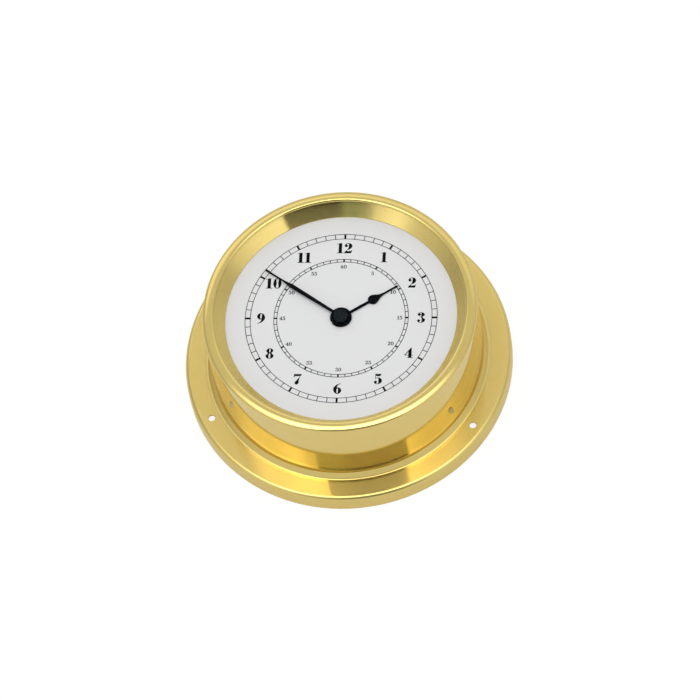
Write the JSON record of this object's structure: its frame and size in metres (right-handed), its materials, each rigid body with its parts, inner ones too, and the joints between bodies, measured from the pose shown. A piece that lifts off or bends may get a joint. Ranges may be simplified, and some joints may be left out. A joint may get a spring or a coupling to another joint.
{
  "type": "deck clock",
  "caption": "Round brass deck clock with a screw-down flange, rolled rim, conical sight ring, white dial with black hands under glass, and a battery quartz movement behind.",
  "frame": {"origin": "centre of the flange's back face, which lies against the bulkhead", "axes": "+Z out of the dial towards the viewer, +Y towards 12 o'clock, +X towards 3 o'clock"},
  "size_m": [0.12, 0.12, 0.0407],
  "materials": {
    "polished_brass": "polished and lacquered",
    "turned_brass": "turned and polished",
    "glass": "clear float glass",
    "rubber": "matt",
    "dial_enamel": "matt white paint with black print",
    "hand_black": "matt black paint",
    "black_abs": "moulded, finely textured",
    "potting": "glossy potting",
    "zinc_steel": "bright zinc plate",
    "steel": "ground",
    "nickel_strip": "nickel plated strip",
    "acetal": "moulded, natural",
    "copper_wire": "enamelled wire",
    "circuit_board": "green solder mask",
    "battery_sleeve": "printed sleeve over a steel can"
  },
  "bodies": {
    "housing": {"case": "polished_brass", "lens": "glass", "lens_gasket": "rubber", "sight_ring": "turned_brass", "dial": "dial_enamel", "movement_carrier": "black_abs", "movement_screws": "zinc_steel", "movement_plate": "black_abs", "movement_cover": "black_abs", "train_plate": "acetal", "stator": "steel", "coil_core": "steel", "coil_bobbin": "acetal", "coil_winding": "copper_wire", "circuit_board": "circuit_board", "chip": "potting", "quartz_crystal": "steel", "battery": "battery_sleeve", "contact_positive": "nickel_strip", "contact_negative": "nickel_strip"},
    "minute": {"minute_hand": "hand_black", "centre_cap": "hand_black", "minute_arbor": "steel"},
    "hour": {"hour_hand": "hand_black", "hour_wheel": "acetal"},
    "setting": {"setting_knob": "acetal", "motion_wheel": "acetal"},
    "rotor_body": {"rotor": "steel"},
    "intermediate": {"intermediate_wheel": "acetal"},
    "seconds": {"seconds_wheel": "acetal"},
    "third": {"third_wheel": "acetal"},
    "centre": {"centre_wheel": "acetal"}
  },
  "joints": [
    {"name": "minute_turn", "type": "hinge", "parent": "housing", "child": "minute", "pos_m": [0, 0, 0.036], "axis": [0, 0, -1], "continuous": true},
    {"name": "hour_turn", "type": "hinge", "parent": "housing", "child": "hour", "pos_m": [0, 0, 0.033], "axis": [0, 0, -1], "continuous": true},
    {"name": "setting_turn", "type": "hinge", "parent": "housing", "child": "setting", "pos_m": [0.00526, 0.00912, 0.025], "axis": [0, 0, -1], "continuous": true},
    {"name": "rotor_turn", "type": "hinge", "parent": "housing", "child": "rotor_body", "pos_m": [0.00428, 0.0185, 0.024], "axis": [0, 0, -1], "continuous": true},
    {"name": "intermediate_turn", "type": "hinge", "parent": "housing", "child": "intermediate", "pos_m": [-0.00081, 0.01422, 0.024], "axis": [0, 0, -1], "continuous": true},
    {"name": "seconds_turn", "type": "hinge", "parent": "housing", "child": "seconds", "pos_m": [-0.00731, 0.01308, 0.025], "axis": [0, 0, -1], "continuous": true},
    {"name": "third_turn", "type": "hinge", "parent": "housing", "child": "third", "pos_m": [-0.00873, 0.00504, 0.027], "axis": [0, 0, -1], "continuous": true},
    {"name": "centre_turn", "type": "hinge", "parent": "housing", "child": "centre", "pos_m": [0, 0, 0.0286], "axis": [0, 0, -1], "continuous": true}
  ],
  "couplings": [
    {"joint": "hour_turn", "follows": "minute_turn", "ratio": 0.083333},
    {"joint": "setting_turn", "follows": "minute_turn", "ratio": -0.33333},
    {"joint": "intermediate_turn", "follows": "rotor_turn", "ratio": -0.16667},
    {"joint": "seconds_turn", "follows": "rotor_turn", "ratio": 0.033333},
    {"joint": "third_turn", "follows": "rotor_turn", "ratio": -0.0044444},
    {"joint": "centre_turn", "follows": "rotor_turn", "ratio": 0.00055556}
  ]
}
